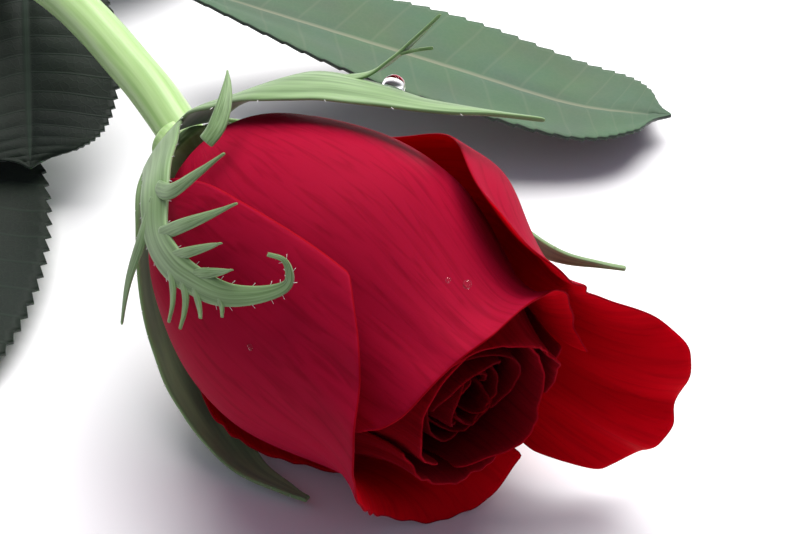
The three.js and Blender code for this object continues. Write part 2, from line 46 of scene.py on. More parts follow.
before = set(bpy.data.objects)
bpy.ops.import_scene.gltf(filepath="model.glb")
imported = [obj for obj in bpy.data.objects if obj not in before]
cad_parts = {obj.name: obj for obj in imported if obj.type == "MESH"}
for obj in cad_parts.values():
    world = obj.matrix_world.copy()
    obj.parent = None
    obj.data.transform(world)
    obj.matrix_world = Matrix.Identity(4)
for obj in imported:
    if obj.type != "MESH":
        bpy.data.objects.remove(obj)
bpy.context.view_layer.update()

MM = 0.001


def linear(hex_colour):
    """An sRGB hex colour as linear red, green, blue."""
    shares = [(hex_colour >> shift & 255) / 255 for shift in (16, 8, 0)]
    return tuple(s / 12.92 if s <= 0.04045 else ((s + 0.055) / 1.055) ** 2.4 for s in shares)


def colour(name, description, hex_colour):
    """A colour that a user can change."""
    return FloatVectorProperty(
        name=name, description=description, subtype="COLOR", default=linear(hex_colour)
    )


def in_millimetres(point):
    return Vector(point) / MM


# ---- places taken from the frame ----------------------------------------

NOSE_DOWN = math.radians(3)  # the bud dips towards the surface
receptacle_box = [in_millimetres(corner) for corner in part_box("receptacle")]
stem_box = [in_millimetres(corner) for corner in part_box("stem")]
BUD_BASE = (receptacle_box[0] + receptacle_box[1]) / 2
STEM_LENGTH = BUD_BASE.x - stem_box[0].x
BUD_TURN = Matrix.Rotation(NOSE_DOWN, 3, "Y")


def bud_place(height, azimuth, radius):
    """A place round the bud's axis: up it from its base, azimuth 0 at the far side and 90 on top."""
    angle = math.radians(azimuth)
    local = Vector((height, radius * math.cos(angle), radius * math.sin(angle)))
    return BUD_BASE + BUD_TURN @ local


def smoothstep(x, low, high):
    share = min(1.0, max(0.0, (x - low) / (high - low)))
    return share * share * (3 - 2 * share)


def along_rows(rows, t):
    """Catmull-Rom through rows of numbers, at share t of the way along them."""
    last = len(rows) - 1
    place = min(1.0, max(0.0, t)) * last
    i = min(int(place), last - 1)
    f = place - i
    b, c = rows[i], rows[i + 1]
    a = rows[i - 1] if i > 0 else [2 * p - q for p, q in zip(b, c)]
    d = rows[i + 2] if i + 2 <= last else [2 * q - p for p, q in zip(b, c)]
    return [
        q + f * ((r - p) + f * ((2 * p - 5 * q + 4 * r - s) + f * (3 * q - p - 3 * r + s))) / 2
        for p, q, r, s in zip(a, b, c, d)
    ]


# ---- shaping ------------------------------------------------------------


def deselect():
    bpy.ops.object.select_all(action="DESELECT")


def grid_piece(name, points):
    """A grid primitive with its corners carried to points[i][j], in millimetres.

    Petals, sepals and leaflets curve two ways at once and narrow as they go, which extrusions can't
    follow, so formulas place their corners. The UV map runs across the piece and along it.
    """
    columns, rows = len(points) - 1, len(points[0]) - 1
    deselect()
    bpy.ops.mesh.primitive_grid_add(x_subdivisions=columns, y_subdivisions=rows, size=1, calc_uvs=True)
    piece = bpy.context.object
    piece.name = name
    piece.data.name = name
    for corner in piece.data.vertices:
        i = round((corner.co.x + 0.5) * columns)
        j = round((corner.co.y + 0.5) * rows)
        corner.co = points[i][j] * MM
    return piece


def columns_round(sides, column):
    """Columns of places all the way round a piece, each given by its angle."""
    return [column(2 * math.pi * i / sides) for i in range(sides + 1)]


def round_piece(name, points):
    """A grid primitive closed round into a tube: its two long edges meet and its ends are points."""
    piece = grid_piece(name, points)
    bpy.ops.object.mode_set(mode="EDIT")
    bpy.ops.mesh.select_all(action="SELECT")
    bpy.ops.mesh.remove_doubles(threshold=1e-6)
    bpy.ops.mesh.normals_make_consistent(inside=False)
    bpy.ops.object.mode_set(mode="OBJECT")
    return piece


def copied_piece(model, place):
    """A copy of a model, with its own mesh carried to a place given as a matrix in metres."""
    piece = model.copy()
    piece.data = model.data.copy()
    piece.data.transform(place)
    bpy.context.collection.objects.link(piece)
    return piece


def stand(foot, along, out):
    """The matrix, in metres, that stands a model on a foot with its +X along and its +Z out."""
    turned = Matrix((along, out.cross(along), out)).transposed()
    return Matrix.Translation(foot * MM) @ turned.to_4x4()


def apply_modifier(piece, kind, **settings):
    modifier = piece.modifiers.new(kind.title(), kind)
    for key, value in settings.items():
        setattr(modifier, key, value)
    bpy.context.view_layer.objects.active = piece
    bpy.ops.object.modifier_apply(modifier=modifier.name)


def give_thickness(piece, thickness, levels, finishes):
    """Walls a sheet on both sides, with finishes for its face, its other face and its edge."""
    for finish in finishes:
        piece.data.materials.append(finish)
    apply_modifier(
        piece, "SOLIDIFY", thickness=thickness * MM, offset=0, material_offset=1, material_offset_rim=2
    )
    if levels:
        apply_modifier(piece, "SUBSURF", levels=levels, render_levels=levels)


def join(pieces):
    deselect()
    for piece in pieces:
        piece.select_set(True)
    bpy.context.view_layer.objects.active = pieces[0]
    bpy.ops.object.join()
    return pieces[0]


def dress(piece, node=None):
    """Smooths a finished piece and ties it to the frame."""
    deselect()
    piece.select_set(True)
    bpy.context.view_layer.objects.active = piece
    bpy.ops.object.shade_smooth()
    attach(piece, "root")
    if node:
        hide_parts(node)


def make_sheet(node, points, thickness, levels, finishes):
    """A petal or leaflet: a sheet with walls, over the node of the same name."""
    piece = grid_piece(node + "_look", points)
    give_thickness(piece, thickness, levels, finishes)
    dress(piece, node)


# ---- finishes -----------------------------------------------------------


def add_node(tree, kind, settings=None, inputs=None):
    """Adds a node, with its properties set and each input given a value or linked to a socket."""
    made = tree.nodes.new(kind)
    for key, value in (settings or {}).items():
        setattr(made, key, value)
    for key, value in (inputs or {}).items():
        if isinstance(value, bpy.types.NodeSocket):
            tree.links.new(value, made.inputs[key])
        else:
            made.inputs[key].default_value = value
    return made


def new_finish(name):
    """An empty material of that name, and its node tree."""
    material = bpy.data.materials.new(name)
    material.use_nodes = True
    material.node_tree.nodes.clear()
    return material, material.node_tree


def give_skin(tree, inputs):
    """Ends a finish with its surface."""
    skin = add_node(tree, "ShaderNodeBsdfPrincipled", inputs=inputs)
    add_node(tree, "ShaderNodeOutputMaterial", inputs={"Surface": skin.outputs["BSDF"]})


def rgba(tint):
    return (*tint, 1.0)


def long_streaks(tree, cells, noise_inputs, stops, depth):
    """Streaks of two tints along a piece, and the relief they raise, as a colour and a normal."""
    place = add_node(tree, "ShaderNodeUVMap").outputs["UV"]
    grain = add_node(tree, "ShaderNodeMapping", inputs={"Vector": place, "Scale": cells})
    field = add_node(
        tree,
        "ShaderNodeTexNoise",
        inputs={"Vector": grain.outputs["Vector"], "Scale": 1.0, **noise_inputs},
    )
    ramp = add_node(tree, "ShaderNodeValToRGB", inputs={"Fac": field.outputs["Fac"]})
    for element, (position, tint) in zip(ramp.color_ramp.elements, stops):
        element.position = position
        element.color = rgba(tint)
    relief = add_node(
        tree,
        "ShaderNodeBump",
        inputs={"Height": field.outputs["Fac"], "Distance": depth * MM, "Strength": 0.6},
    )
    return ramp.outputs["Color"], relief.outputs["Normal"]


PETAL_BLOOM = linear(0xE0305A)
# Noise cells across a petal and along it: veins about 0.8 mm apart on a petal some 50 mm wide.
PETAL_VEINS = (64, 7, 1)


def petal_finish(name, bright, dark, sheen, relief):
    """Rose petal, a velvety skin of fine upright cells over soft wet tissue.

    The cells give the eye a matt red with a faint bloom where the petal turns away, the tissue a deep
    red that light passes into, and the veins fine, slightly wavy ridges from the claw to the rim.
    """
    material, tree = new_finish(name)
    tint, normal = long_streaks(
        tree, PETAL_VEINS, {"Detail": 2.0, "Distortion": 0.7}, [(0.3, dark), (0.52, bright)], relief
    )
    give_skin(tree, {
        "Base Color": tint,
        "Roughness": 0.62,
        "IOR": 1.38,
        "Specular IOR Level": 0.02,
        "Subsurface Weight": 0.12,
        "Subsurface Radius": (1.0, 0.12, 0.08),
        "Subsurface Scale": 1.6 * MM,
        "Sheen Weight": sheen,
        "Sheen Roughness": 0.45,
        "Sheen Tint": rgba(PETAL_BLOOM),
        "Normal": normal,
    })
    return material


def green_finish(name, bright, dark, grain, roughness, relief, sheen=0.1):
    """Waxy green skin of a stem, calyx or stalk.

    Wax gives the eye a soft wide highlight, and the fibres under it long faint streaks.
    """
    material, tree = new_finish(name)
    tint, normal = long_streaks(tree, grain, {"Detail": 4.0}, [(0.35, dark), (0.62, bright)], relief)
    give_skin(tree, {
        "Base Color": tint,
        "Roughness": roughness,
        "IOR": 1.42,
        "Subsurface Weight": 0.1,
        "Subsurface Radius": (0.5, 1.0, 0.2),
        "Subsurface Scale": 1.0 * MM,
        "Sheen Weight": sheen,
        "Normal": normal,
    })
    return material


def maths(tree, operation, *values):
    """The result of one operation on numbers or sockets."""
    made = add_node(tree, "ShaderNodeMath", {"operation": operation}, dict(enumerate(values)))
    return made.outputs["Value"]


def line_mask(tree, distance, core, edge, strength):
    """A soft line: strength where distance is under core, fading to nothing at edge."""
    limits = {"From Min": core, "From Max": edge, "To Min": strength, "To Max": 0.0}
    made = add_node(tree, "ShaderNodeMapRange", inputs={"Value": distance, **limits})
    return made.outputs["Result"]


SIDE_VEINS = 17  # pairs of veins along a leaflet, one to every second tooth
MIDRIB_STRENGTH = 0.6
NET_CELLS = 900.0  # per metre, so that the net between the veins has cells of about 1 mm
NET_SHARE = 0.4  # how strong the net is beside the side veins
MOTTLE_CELLS = 90.0  # per metre, for patches of about 10 mm


def leaf_finish(name, blade, vein, roughness, strength):
    """Skin of a rose leaflet, matt below and slightly glossy above.

    Pale veins run to the teeth on either side of a stronger midrib, with a fine net between them.
    """
    material, tree = new_finish(name)
    place = add_node(tree, "ShaderNodeUVMap").outputs["UV"]
    parts = add_node(tree, "ShaderNodeSeparateXYZ", inputs={"Vector": place})
    # distance from the midrib, 0 on it and 1 at the edge
    out = maths(tree, "ABSOLUTE", maths(tree, "MULTIPLY_ADD", parts.outputs["X"], 2.0, -1.0))
    midrib = line_mask(tree, out, 0.015, 0.05, MIDRIB_STRENGTH)
    # side veins follow the grid, which leans forward towards the teeth
    wave = maths(tree, "SINE", maths(tree, "MULTIPLY", parts.outputs["Y"], SIDE_VEINS * math.pi))
    side = line_mask(tree, maths(tree, "ABSOLUTE", wave), 0.04, 0.2, strength)
    body = add_node(tree, "ShaderNodeTexCoord").outputs["Object"]
    net = add_node(
        tree,
        "ShaderNodeTexVoronoi",
        {"feature": "DISTANCE_TO_EDGE"},
        {"Vector": body, "Scale": NET_CELLS},
    )
    cells = line_mask(tree, net.outputs["Distance"], 0.0, 0.12, strength * NET_SHARE)
    lines = maths(tree, "MAXIMUM", maths(tree, "MAXIMUM", midrib, side), cells)
    mottle = add_node(
        tree, "ShaderNodeTexNoise", inputs={"Vector": body, "Scale": MOTTLE_CELLS, "Detail": 3.0}
    )
    shade = add_node(
        tree,
        "ShaderNodeMixRGB",
        {"blend_type": "MULTIPLY"},
        {"Fac": 0.35, "Color1": rgba(blade), "Color2": mottle.outputs["Color"]},
    )
    tint = add_node(
        tree,
        "ShaderNodeMixRGB",
        inputs={"Fac": lines, "Color1": shade.outputs["Color"], "Color2": rgba(vein)},
    )
    relief = add_node(
        tree, "ShaderNodeBump", inputs={"Height": lines, "Distance": 0.15 * MM, "Strength": 0.7}
    )
    give_skin(tree, {
        "Base Color": tint.outputs["Color"],
        "Roughness": roughness,
        "IOR": 1.42,
        "Specular IOR Level": 0.2,
        "Sheen Weight": 0.08,
        "Normal": relief.outputs["Normal"],
    })
    return material


def water_finish():
    """Clear water: a drop is seen by its bright rim, its highlight and the colour it stands on."""
    material, tree = new_finish("water drop")
    give_skin(
        tree, {"Base Color": (1, 1, 1, 1), "Roughness": 0.0, "IOR": 1.333, "Transmission Weight": 1.0}
    )
    return material


def floor_finish(paper_colour):
    """Plain matt paper."""
    material, tree = new_finish("studio paper")
    give_skin(tree, {"Base Color": rgba(paper_colour), "Roughness": 0.9})
    return material


# ---- bud ----------------------------------------------------------------

BUD_LENGTH = 64
BELLY_RADIUS = 22.9
LAYER_STEP = 1.2  # a petal and the air outside it
BASE_RISE = 0.75  # how much higher each layer starts, as a share of its depth

# Outline of the closed bud: share of its length, share of its belly's radius.
BUD_PROFILE = [
    (0.047, 0.15), (0.078, 0.44), (0.156, 0.68), (0.25, 0.84), (0.39, 0.98),
    (0.53, 1.0), (0.66, 0.92), (0.78, 0.81), (0.91, 0.72), (1.0, 0.68),
]
OUTLINE_STEPS = 120


def layer_outline(layer):
    """Heights and radii of one layer's outline, from the claws to the opening."""
    depth = layer * LAYER_STEP
    start = BASE_RISE * depth
    outline = []
    for k in range(OUTLINE_STEPS + 1):
        height, radius = along_rows(BUD_PROFILE, k / OUTLINE_STEPS)
        outline.append((start + height * (BUD_LENGTH - start), radius * (BELLY_RADIUS - depth)))
    return outline


BELLY = layer_outline(0)


def belly_radius_at(height):
    for (low, first), (high, second) in zip(BELLY, BELLY[1:]):
        if height < high:
            share = max(0.0, (height - low) / (high - low))
            return first + share * (second - first)
    return BELLY[-1][1]


def even_steps(path, count):
    """count + 1 points at even distances along a path of (height, radius)."""
    reach = [0.0]
    for (a, b), (c, d) in zip(path, path[1:]):
        reach.append(reach[-1] + math.hypot(c - a, d - b))
    steps, k = [], 0
    for j in range(count + 1):
        wanted = reach[-1] * j / count
        while k < len(path) - 2 and reach[k + 1] < wanted:
            k += 1
        share = (wanted - reach[k]) / (reach[k + 1] - reach[k])
        steps.append([p + share * (q - p) for p, q in zip(path[k], path[k + 1])])
    return steps


FREE_STEPS = 24


def petal_strip(outline, leave, height, radius, lean, count):
    """One strip of a petal: up its layer, then away from it to its rim, leaning out by lean."""
    path = [point for point in outline if point[0] <= leave * height]
    start, before = Vector(path[-1]), Vector(path[-2])
    rim = Vector((height, radius))
    direction = (start - before).normalized()
    chord = (rim - start).length
    arrival = Vector((math.cos(math.radians(lean)), math.sin(math.radians(lean))))
    for i in range(1, FREE_STEPS + 1):
        x = i / FREE_STEPS
        point = start * (2 * x**3 - 3 * x**2 + 1) + direction * chord * (x**3 - 2 * x**2 + x)
        point += rim * (3 * x**2 - 2 * x**3) + arrival * chord * (x**3 - x**2)
        path.append(tuple(point))
    return even_steps(path, count)


RIPPLE = 0.25  # how much a rim waves, where its petal doesn't say
LEAVES_AT = 0.6  # share of a petal's height up to which it follows its layer, likewise
CLAW_SHARE = 0.34  # width of a petal's claw, as a share of its widest
CLAW_OPENS_BY = 0.55  # share of a petal's length at which it is widest
CLAW_ROUNDNESS = 0.9
RIM_TAKES_OVER = 0.35  # share of a petal's length from which its rim's own azimuths begin to count
RIM_FREEDOM = 5  # power of the way along that lets only the rim wave
WAVES_ACROSS = 3.2
FLUTTERS_ACROSS = 9.0


def petal_points(petal, columns, rows, seed):
    """Places of one petal's middle surface. A rim row is azimuth, height, radius and lean."""
    outline = layer_outline(petal["layer"])
    ripple = petal.get("ripple", RIPPLE)
    points = []
    for i in range(columns + 1):
        u = 2 * i / columns - 1
        azimuth, height, radius, lean = along_rows(petal["rim"], (u + 1) / 2)
        strip = petal_strip(outline, petal.get("leave", LEAVES_AT), height, radius, lean, rows)
        column = []
        for j, (s, r) in enumerate(strip):
            v = j / rows
            opening = math.sin(min(1.0, v / CLAW_OPENS_BY) * math.pi / 2) ** CLAW_ROUNDNESS
            width = CLAW_SHARE + (1 - CLAW_SHARE) * opening
            turn = smoothstep(v, RIM_TAKES_OVER, 1)
            around = (petal["face"] + u * petal["half"] * width) * (1 - turn) + azimuth * turn
            # a free side edge stands away from the petal below it, and that petal sinks beside it
            stand = smoothstep(u, 0.2, 0.75) * (1 - 0.45 * smoothstep(u, 0.75, 1))
            r += petal.get("swell", 0) * math.sin(math.pi * v) * stand
            r -= petal.get("dip", 0) * math.sin(math.pi * v) * smoothstep(-u, 0.1, 0.5)
            # the rim is never quite true: it waves in and out, more the freer it is
            free = v**RIM_FREEDOM
            wave = noise.noise(Vector((WAVES_ACROSS * u + seed, 1.4 * v, seed)))
            flutter = noise.noise(Vector((FLUTTERS_ACROSS * u, 0.8 * v + seed, 2.0 * seed)))
            s += free * ripple * (1.6 * wave + 0.7 * flutter)
            r += free * ripple * (1.2 * flutter + 0.8 * wave)
            column.append(bud_place(s, around, r))
        points.append(column)
    return points


OUTER_PETALS = [
    {"name": "petal_01_under", "layer": 0, "face": 296, "half": 66, "leave": 0.5, "ripple": 0.6,
     "rim": [(224, 27, 23.8, 14), (236, 31, 25, 16), (250, 37, 24.8, 12), (275, 44, 23, 0),
             (320, 46, 22.8, 0), (355, 40, 22.9, 0)]},
    {"name": "petal_02_right", "layer": 1, "face": -20, "half": 36, "ripple": 0.7, "swell": 3,
     "rim": [(-56, 55, 22, 20), (-50, 60, 25.6, 42), (-45, 62.6, 27.2, 56), (-38, 64, 27.4, 62),
             (-33, 67.4, 27.2, 62), (-26, 67.8, 28, 66), (-20, 65.8, 28.6, 72), (-12, 66.8, 28.6, 74),
             (-4, 65.6, 28.4, 75), (3, 62.6, 26.6, 68), (12, 60.6, 23, 58), (24, 59, 19.8, 48),
             (38, 59.6, 19, 34), (52, 60, 19.2, 24), (64, 57, 20.2, 14), (63, 48, 22.2, 6)]},
    {"name": "petal_03_front", "layer": 1, "face": 190, "half": 62, "ripple": 0.9,
     "rim": [(120, 46, 21.5, 0), (141, 54.4, 20.8, 5), (164, 59, 21.4, 20), (188, 59, 20, 30),
             (212, 56.5, 18.8, 40), (236, 53.4, 20.4, 50), (254, 52.2, 23, 58), (268, 53.4, 23.6, 58),
             (282, 55.8, 22.6, 50), (301, 56.6, 21, 34)]},
    {"name": "petal_04_top", "layer": 2, "face": 92, "half": 76, "ripple": 0.5, "dip": 1.3,
     "rim": [(8, 61, 14.6, 20), (20, 58, 15.8, 44), (40, 57.5, 17, 60), (60, 58.6, 15.6, 48),
             (82, 59.4, 13.6, 30), (105, 59.7, 13.1, 15), (135, 59, 13.4, 5), (160, 57.4, 14.2, 0),
             (180, 53, 15.2, 0)]},
    {"name": "petal_05_back", "layer": 2.2, "face": 276, "half": 90, "leave": 0.92,
     "rim": [(194, 34, 19.8, 0), (215, 34, 19.8, 0), (250, 36, 19.6, 0), (285, 45, 18, 0),
             (320, 53, 16, 0), (355, 56, 15.6, 0)]},
    {"name": "petal_06_left", "layer": 3.2, "face": 252, "half": 68, "ripple": 0.4,
     "rim": [(194, 56.6, 11.2, 0), (212, 58.2, 11.3, 0), (237, 58.4, 11.5, 4), (264, 58, 12.4, 14),
             (290, 57, 14.2, 30), (312, 56, 14.8, 25)]},
    {"name": "petal_07_right", "layer": 3.2, "face": 62, "half": 84, "ripple": 0.4,
     "rim": [(-26, 58, 12.6, 0), (2, 59.6, 11.2, 0), (24, 59.6, 10.2, 0), (60, 60, 9.4, 0),
             (95, 58.4, 9.6, 0), (136, 57, 10.8, 0)]},
    {"name": "petal_08_left", "layer": 4.3, "face": 160, "half": 80,
     "rim": [(84, 57, 8.4, 0), (126, 57.4, 8.8, 0), (165, 57.8, 9.2, 0), (188, 58.6, 9.8, 0),
             (236, 57, 9.4, 0)]},
    {"name": "petal_09_right", "layer": 4.3, "face": 334, "half": 84,
     "rim": [(256, 57, 10.6, 0), (300, 60, 10.2, 6), (335, 59.6, 9.8, 6), (375, 58.6, 9.4, 5),
             (412, 57, 8.4, 0)]},
]

OUTER_GRID = (52, 44)  # columns across a petal, rows along it
DEEPEST_UNSHADED_LAYER = 2  # petals further in get a darker red, painted shade for the dark inside of the bud

HEART_GRID = (28, 26)
HEART_RINGS = 5
HEART_FIRST_LAYER = 5.6
HEART_FIRST_FACE = 30
HEART_HALF = 84
HEART_TURN = 68
HEART_RIM_RADIUS = 6.6
HEART_RIM_STEP = 1.16
HEART_HEIGHT = 58
SECOND_LOWER = 1.6  # how much lower the second petal of a pair ends
SHOULDER_LOWER = 2.6  # how much lower a petal's corners are than its middle


def heart_petals():
    """Pairs of petals in ever smaller layers, each pair turned on from the last."""
    petals = []
    for ring in range(HEART_RINGS):
        for side in range(2):
            face = HEART_FIRST_FACE + ring * HEART_TURN + side * 180
            radius = HEART_RIM_RADIUS - ring * HEART_RIM_STEP
            rim = [
                (
                    face + u * HEART_HALF,
                    HEART_HEIGHT - SECOND_LOWER * side - SHOULDER_LOWER * u * u,
                    radius,
                    0,
                )
                for u in (-1, -0.5, 0, 0.5, 1)
            ]
            petals.append({
                "name": f"petal_{10 + 2 * ring + side}_heart", "layer": HEART_FIRST_LAYER + ring,
                "face": face, "half": HEART_HALF, "rim": rim, "ripple": 0.2,
            })
    return petals


class PetalSettings(bpy.types.PropertyGroup):
    """Sizes and colours of the petals."""

    thickness: FloatProperty(
        name="Thickness", description="Of a petal, in metres", default=0.4 * MM, unit="LENGTH"
    )
    back: colour("Back", "Outside of a petal", 0x940E2B)
    back_dark: colour("Back veins", "Veins on its outside", 0x850B24)
    inside: colour("Inside", "Inside of a petal", 0xBE0012)
    inside_dark: colour("Inside veins", "Veins on its inside", 0xAE0010)
    # Nested: a darker red, painted shade for the petals deep inside the bud.
    nested: colour("Nested", "Petals inside the bud", 0x7E0716)
    nested_dark: colour("Nested veins", "Their veins", 0x700513)
    # Heart: a very dark red, painted shade for the deepest part of the bud.
    heart: colour("Heart", "Petals of the heart", 0x5E020C)
    heart_shaded_veins: colour("Heart veins", "Their veins", 0x50020B)
    rim: colour("Rim", "Cut edge of a petal", 0x8A0616)


class ROSE_OT_outer_petals(bpy.types.Operator):
    """Makes the nine outer petals of the bud"""

    bl_idname = "rose.outer_petals"
    bl_label = "Outer petals"

    def execute(self, context):
        reds = context.scene.rose_petals
        back = petal_finish("rose petal, outside", reds.back, reds.back_dark, sheen=0.02, relief=0.05)
        inside = petal_finish("rose petal, inside", reds.inside, reds.inside_dark, sheen=0, relief=0.06)
        # The nested red is painted shade, given to both faces of the petals deep inside the bud.
        nested = petal_finish("rose petal, nested", reds.nested, reds.nested_dark, sheen=0, relief=0.06)
        rim = petal_finish("rose petal, rim", reds.rim, reds.rim, sheen=0.03, relief=0.02)
        for seed, petal in enumerate(OUTER_PETALS, start=1):
            points = petal_points(petal, *OUTER_GRID, seed)
            faces = [nested, nested] if petal["layer"] > DEEPEST_UNSHADED_LAYER else [back, inside]
            make_sheet(petal["name"], points, reds.thickness / MM, 1, [*faces, rim])
        return {"FINISHED"}


class ROSE_OT_heart(bpy.types.Operator):
    """Makes the tight petals of the heart"""

    bl_idname = "rose.heart"
    bl_label = "Heart"

    def execute(self, context):
        reds = context.scene.rose_petals
        # The heart's very dark red is painted shade for the deep inside of the bud.
        finish = petal_finish("rose petal, heart", reds.heart, reds.heart_shaded_veins, sheen=0.02, relief=0.06)
        for seed, petal in enumerate(heart_petals(), start=20):
            points = petal_points(petal, *HEART_GRID, seed)
            make_sheet(petal["name"], points, reds.thickness / MM, 1, [finish] * 3)
        return {"FINISHED"}


# ---- blades: sepals and leaflets ----------------------------------------


def smooth_path(points, steps):
    """steps + 1 places along a smooth curve through points, with its direction at each."""
    rows = [tuple(p) for p in points]
    places = [Vector(along_rows(rows, j / steps)) for j in range(steps + 1)]
    tangents = []
    for j in range(steps + 1):
        ahead, behind = places[min(j + 1, steps)], places[max(j - 1, 0)]
        tangents.append((ahead - behind).normalized())
    return places, tangents


def blade_points(path, up, half_width, columns, rows, roll=0, fold=0, cup=0, sweep=0, relief=None):
    """Places of a blade about its midline.

    up gives the way its face looks, roll turns it in degrees, fold lifts its edges, cup curves it
    across, and sweep carries its edges forward, as a share of its width.
    """
    places, tangents = smooth_path(path, rows)
    points = [[] for _ in range(columns + 1)]
    for j, (centre, tangent) in enumerate(zip(places, tangents)):
        t = j / rows
        side = tangent.cross(up(centre)).normalized()
        side = Quaternion(tangent, math.radians(roll)) @ side
        face = side.cross(tangent).normalized()
        for i in range(columns + 1):
            u = 2 * i / columns - 1
            width = half_width(t, u)
            across = u * width
            lift = abs(across) * math.sin(math.radians(fold)) + cup * width * u * u
            lift += relief(t, u) if relief else 0
            forward = sweep * abs(across) * (1 - smoothstep(t, 0.7, 1))
            points[i].append(centre + side * across + face * lift + tangent * forward)
    return points


# ---- sepals -------------------------------------------------------------

SEPAL_FOOT_RADIUS = 4.5
SEPAL_FOOT_DEPTH = 1.5  # below the bud's base
SEPAL_SPREAD = 5.2  # how far its second place is out from its foot
SEPAL_RISE = 2
SEPAL_THICKNESS = 0.6
SEPAL_GRID = (10, 60)
LOBE_THICKNESS = 0.45
LOBE_GRID = (4, 20)


def away_from_axis(point):
    local = BUD_TURN.transposed() @ (point - BUD_BASE)
    return BUD_TURN @ Vector((0, local.y, local.z)).normalized()


def off_belly(places):
    """Places given as height, azimuth and distance out from the belly."""
    return [bud_place(height, turn, belly_radius_at(height) + out) for height, turn, out in places]


def sepal_path(azimuth, places):
    """A sepal's midline, from its foot on the receptacle."""
    feet = [
        bud_place(-SEPAL_FOOT_DEPTH, azimuth, SEPAL_FOOT_RADIUS),
        bud_place(SEPAL_RISE, azimuth, SEPAL_FOOT_RADIUS + SEPAL_SPREAD),
    ]
    return feet + off_belly(places)


# A lobe is its half width and the places along it, the first of them under its sepal.
SEPALS = [
    {"name": "sepal_front", "azimuth": 134, "widest": 2.3, "peak": 0.35, "foot": 4.6, "hairs": 20,
     "places": [(7, 136, 1.8), (13, 141, 2), (19, 151, 1.8), (25, 152.5, 1.8), (30, 151, 1.8),
                (35, 148, 2), (39.5, 141, 2.4), (41.8, 134, 3), (40.6, 129.5, 4), (38.4, 131, 4.2)],
     "lobes": [
         (1.5, [(14, 141, 2), (18, 137, 2.2), (21, 127, 2.6), (23.5, 118, 3.6)]),
         (1.3, [(20, 150, 1.8), (24, 141, 2), (27.5, 133, 2.4), (30.5, 126, 3.4)]),
         (1.0, [(24, 152, 1.8), (27, 146, 2), (30, 140, 2.4), (32, 136.5, 3.2)]),
         (1.0, [(28.5, 151, 1.8), (31, 147, 2), (33.5, 143, 2.4), (35.4, 140, 3.4)]),
         (1.3, [(15, 143, 2), (17, 156, 2.4), (17, 172, 3), (16.3, 191, 4.4)]),
         (0.8, [(24, 152, 1.8), (26.6, 156, 2), (28.6, 160, 2.6), (29.9, 164, 3.6)]),
         (0.8, [(27, 152, 1.8), (29.6, 156, 2), (31, 160, 2.6), (32, 163, 3.6)]),
         (0.7, [(29.5, 151, 1.8), (31.5, 154, 2), (33, 156, 2.4), (34, 157, 3)]),
         (0.6, [(34, 149, 2), (35.5, 151, 2.2), (36.6, 153, 2.8)]),
         (1.8, [(16.5, 118, 1.8), (16.4, 112, 2.4), (14.8, 105, 3.6), (12.6, 99, 5), (10.6, 95, 6.4)]),
     ]},
    {"name": "sepal_top", "azimuth": 78, "widest": 5.4, "peak": 0.45, "foot": 4.8, "hairs": 6,
     "places": [(7, 79, 1.6), (13, 77, 1.8), (19, 71, 1.9), (25, 64, 1.9), (30, 55, 2.8), (34, 45, 5.4),
                (39, 36, 10.2)],
     "lobes": [
         (1.4, [(17, 66, 2.2), (20, 58, 3.4), (22, 56, 6.5), (23.6, 55.5, 10), (25, 55.5, 13.4)]),
         (0.7, [(22.6, 56, 7), (24, 55, 8), (25.6, 53.5, 9)]),
     ]},
    {"name": "sepal_left", "azimuth": 214, "widest": 4.8, "peak": 0.42, "foot": 3.6, "hairs": 14,
     "roll": 25,
     "places": [(8, 222, 1.8), (14, 228, 2.2), (20, 232, 2.8), (26, 235, 3.8), (32, 237, 4.6),
                (38, 239.5, 4.6), (41, 241, 4.8)],
     "lobes": []},
    {"name": "sepal_under", "azimuth": 284, "widest": 3.8, "peak": 0.4, "foot": 4.8, "hairs": 8,
     "places": [(7, 284, 1.7), (13, 284, 1.7), (19, 284, 1.5), (25, 285, 1.3), (31, 286, 1.3)],
     "lobes": []},
    {"name": "sepal_far", "azimuth": 352, "widest": 2.7, "peak": 0.35, "foot": 4.8, "hairs": 4,
     "places": [(7, 352, 1.8), (14, 352, 2.2), (22, 352, 3), (30, 352, 4.4), (37.5, 353, 5.2),
                (43, 355.5, 6.8), (47.3, 357, 10.4), (50, 357, 13.6)],
     "lobes": []},
]


def sepal_width(sepal):
    """Half width along a sepal: broad at its foot, drawn out to a long point."""

    def width(t, u):
        rise = smoothstep(t, 0, sepal["peak"])
        fall = 1 - smoothstep(t, sepal["peak"], 1)
        body = sepal["foot"] * (1 - rise) + sepal["widest"] * rise
        waver = 1 + 0.1 * noise.noise(Vector((t * 9, 2.0 if u > 0 else 5.0, sepal["azimuth"])))
        return max(0.12, body * (0.1 + 0.9 * fall) * waver)

    return width


def lobe_width(widest):
    return lambda t, u: max(0.1, widest * (1 - t) ** 0.8 * (0.7 + 0.3 * math.sin(math.pi * t)))


HAIR_LENGTH = 0.6
HAIR_RADIUS = 0.05
HAIR_SIDES = 4
# Shares of a hair's length and of its radius: it narrows and then swells to a rounded end.
HAIR_PROFILE = [(0, 0), (0, 1), (0.6, 0.6), (0.85, 0.7), (1.0, 0)]
HAIR_SUNK = 0.05  # depth of its foot in the blade's edge
HAIRS_START = 0.12  # share of the blade's length
HAIRS_REACH = 0.84


def hair_model():
    """The short stiff hair that every hair is a copy of, standing on the origin."""

    def column(angle):
        out = Vector((math.cos(angle), math.sin(angle), 0)) * HAIR_RADIUS
        return [out * wide + Vector((0, 0, HAIR_LENGTH * along)) for along, wide in HAIR_PROFILE]

    return round_piece("hair", columns_round(HAIR_SIDES, column))


